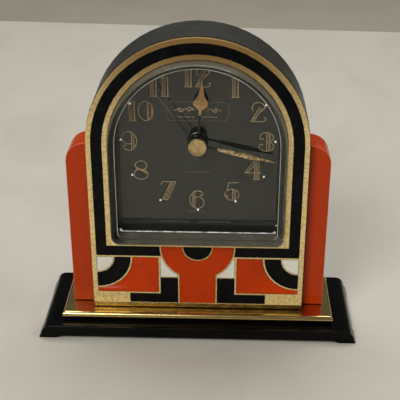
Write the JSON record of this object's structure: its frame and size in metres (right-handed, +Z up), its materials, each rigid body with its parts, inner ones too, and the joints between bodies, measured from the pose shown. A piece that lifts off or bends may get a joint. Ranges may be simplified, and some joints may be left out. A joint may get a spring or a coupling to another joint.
{
  "type": "mantel clock",
  "caption": "Small Art Deco mantel clock: arched case with an enamelled brass front, bevelled crystal, black dial and gold hands, on a brass plinth and gloss black base.",
  "frame": {"origin": "on the table, under the middle of the base", "axes": "+X to the right as seen from the front, -Y out of the dial, +Z up"},
  "size_m": [0.1136, 0.0372, 0.1093],
  "materials": {
    "black_lacquer": "high gloss black lacquer",
    "polished_brass": "polished",
    "satin_brass": "aged satin",
    "red_lacquer": "gloss red lacquer",
    "charcoal": "satin charcoal paint",
    "black_enamel": "polished black enamel",
    "red_enamel": "polished red enamel",
    "white_enamel": "polished ivory enamel",
    "clear": "clear, bevelled",
    "dial_black": "gloss black",
    "rose_gold": "rose gold plate",
    "steel": "bright steel",
    "copper": "enamelled copper wire",
    "black_plastic": "moulded black",
    "white_plastic": "moulded white",
    "board_green": "circuit board"
  },
  "bodies": {
    "case": {"base": "black_lacquer", "base_screw_1": "steel", "base_screw_2": "steel", "base_screw_3": "steel", "base_screw_4": "steel", "plinth_plate": "polished_brass", "sill_strip": "polished_brass", "wing_left": "red_lacquer", "wing_right": "red_lacquer", "case_shell": "charcoal", "back_cover": "black_plastic", "cover_screw_1": "steel", "cover_screw_2": "steel", "cover_screw_3": "steel", "cover_screw_4": "steel", "face_plate": "satin_brass", "enamel_frame_black": "black_enamel", "enamel_stem_red": "red_enamel", "enamel_bud_black": "black_enamel", "enamel_panel_red_left": "red_enamel", "enamel_panel_red_right": "red_enamel", "enamel_quarter_black_left": "black_enamel", "enamel_quarter_black_right": "black_enamel", "enamel_corner_white_left": "white_enamel", "enamel_corner_white_right": "white_enamel", "enamel_spandrel_white_left": "white_enamel", "enamel_spandrel_white_right": "white_enamel", "enamel_ell_black_left": "black_enamel", "enamel_ell_black_right": "black_enamel", "crystal": "clear", "dial_ring": "charcoal", "dial": "dial_black", "movement_housing": "black_plastic", "centre_bush": "satin_brass", "bush_nut": "steel", "movement_cover": "black_plastic", "train_plate": "white_plastic", "rear_bridge": "steel", "stator": "steel", "coil": "copper", "circuit_board": "board_green", "quartz_can": "steel", "battery": "steel", "contact_negative": "polished_brass", "contact_positive": "polished_brass"},
    "second": {"second_hand": "rose_gold", "hand_cap": "rose_gold", "second_wheel": "steel"},
    "rotor": {"rotor": "black_plastic"},
    "fifth": {"fifth_wheel": "white_plastic"},
    "third": {"third_wheel": "white_plastic"},
    "centre": {"centre_wheel": "polished_brass"},
    "minute": {"minute_hand": "rose_gold", "cannon_pinion": "polished_brass"},
    "motion": {"minute_wheel": "white_plastic"},
    "hour": {"hour_hand": "rose_gold", "hour_wheel": "white_plastic"},
    "knob": {"set_knob": "black_plastic", "set_pinion": "white_plastic"},
    "hatch": {"battery_hatch": "black_plastic"}
  },
  "joints": [
    {"name": "second_arbor", "type": "hinge", "parent": "case", "child": "second", "pos_m": [0, 0, 0.0716], "axis": [0, 1, 0], "continuous": true},
    {"name": "rotor_arbor", "type": "hinge", "parent": "case", "child": "rotor", "pos_m": [0.00805, 0, 0.07625], "axis": [0, 1, 0], "continuous": true},
    {"name": "fifth_arbor", "type": "hinge", "parent": "case", "child": "fifth", "pos_m": [0.004, 0, 0.07391], "axis": [0, 1, 0], "continuous": true},
    {"name": "third_arbor", "type": "hinge", "parent": "case", "child": "third", "pos_m": [-0.00558, 0, 0.07363], "axis": [0, 1, 0], "continuous": true},
    {"name": "centre_arbor", "type": "hinge", "parent": "case", "child": "centre", "pos_m": [0, 0, 0.0716], "axis": [0, 1, 0], "continuous": true},
    {"name": "minute_arbor", "type": "hinge", "parent": "case", "child": "minute", "pos_m": [0, 0, 0.0716], "axis": [0, 1, 0], "continuous": true},
    {"name": "motion_arbor", "type": "hinge", "parent": "case", "child": "motion", "pos_m": [0, 0, 0.0666], "axis": [0, 1, 0], "continuous": true},
    {"name": "hour_arbor", "type": "hinge", "parent": "case", "child": "hour", "pos_m": [0, 0, 0.0716], "axis": [0, 1, 0], "continuous": true},
    {"name": "knob_arbor", "type": "hinge", "parent": "case", "child": "knob", "pos_m": [-0.00433, 0, 0.0641], "axis": [0, 1, 0], "continuous": true},
    {"name": "hatch_turn", "type": "hinge", "parent": "case", "child": "hatch", "pos_m": [0.011, 0, 0.0601], "axis": [0, 1, 0], "range_deg": [0, 60]}
  ],
  "couplings": [
    {"joint": "rotor_arbor", "follows": "second_arbor", "ratio": 30},
    {"joint": "fifth_arbor", "follows": "second_arbor", "ratio": -6},
    {"joint": "third_arbor", "follows": "second_arbor", "ratio": -0.125},
    {"joint": "centre_arbor", "follows": "second_arbor", "ratio": 0.016667},
    {"joint": "motion_arbor", "follows": "minute_arbor", "ratio": -0.33333},
    {"joint": "hour_arbor", "follows": "minute_arbor", "ratio": 0.083333},
    {"joint": "knob_arbor", "follows": "minute_arbor", "ratio": 1}
  ]
}
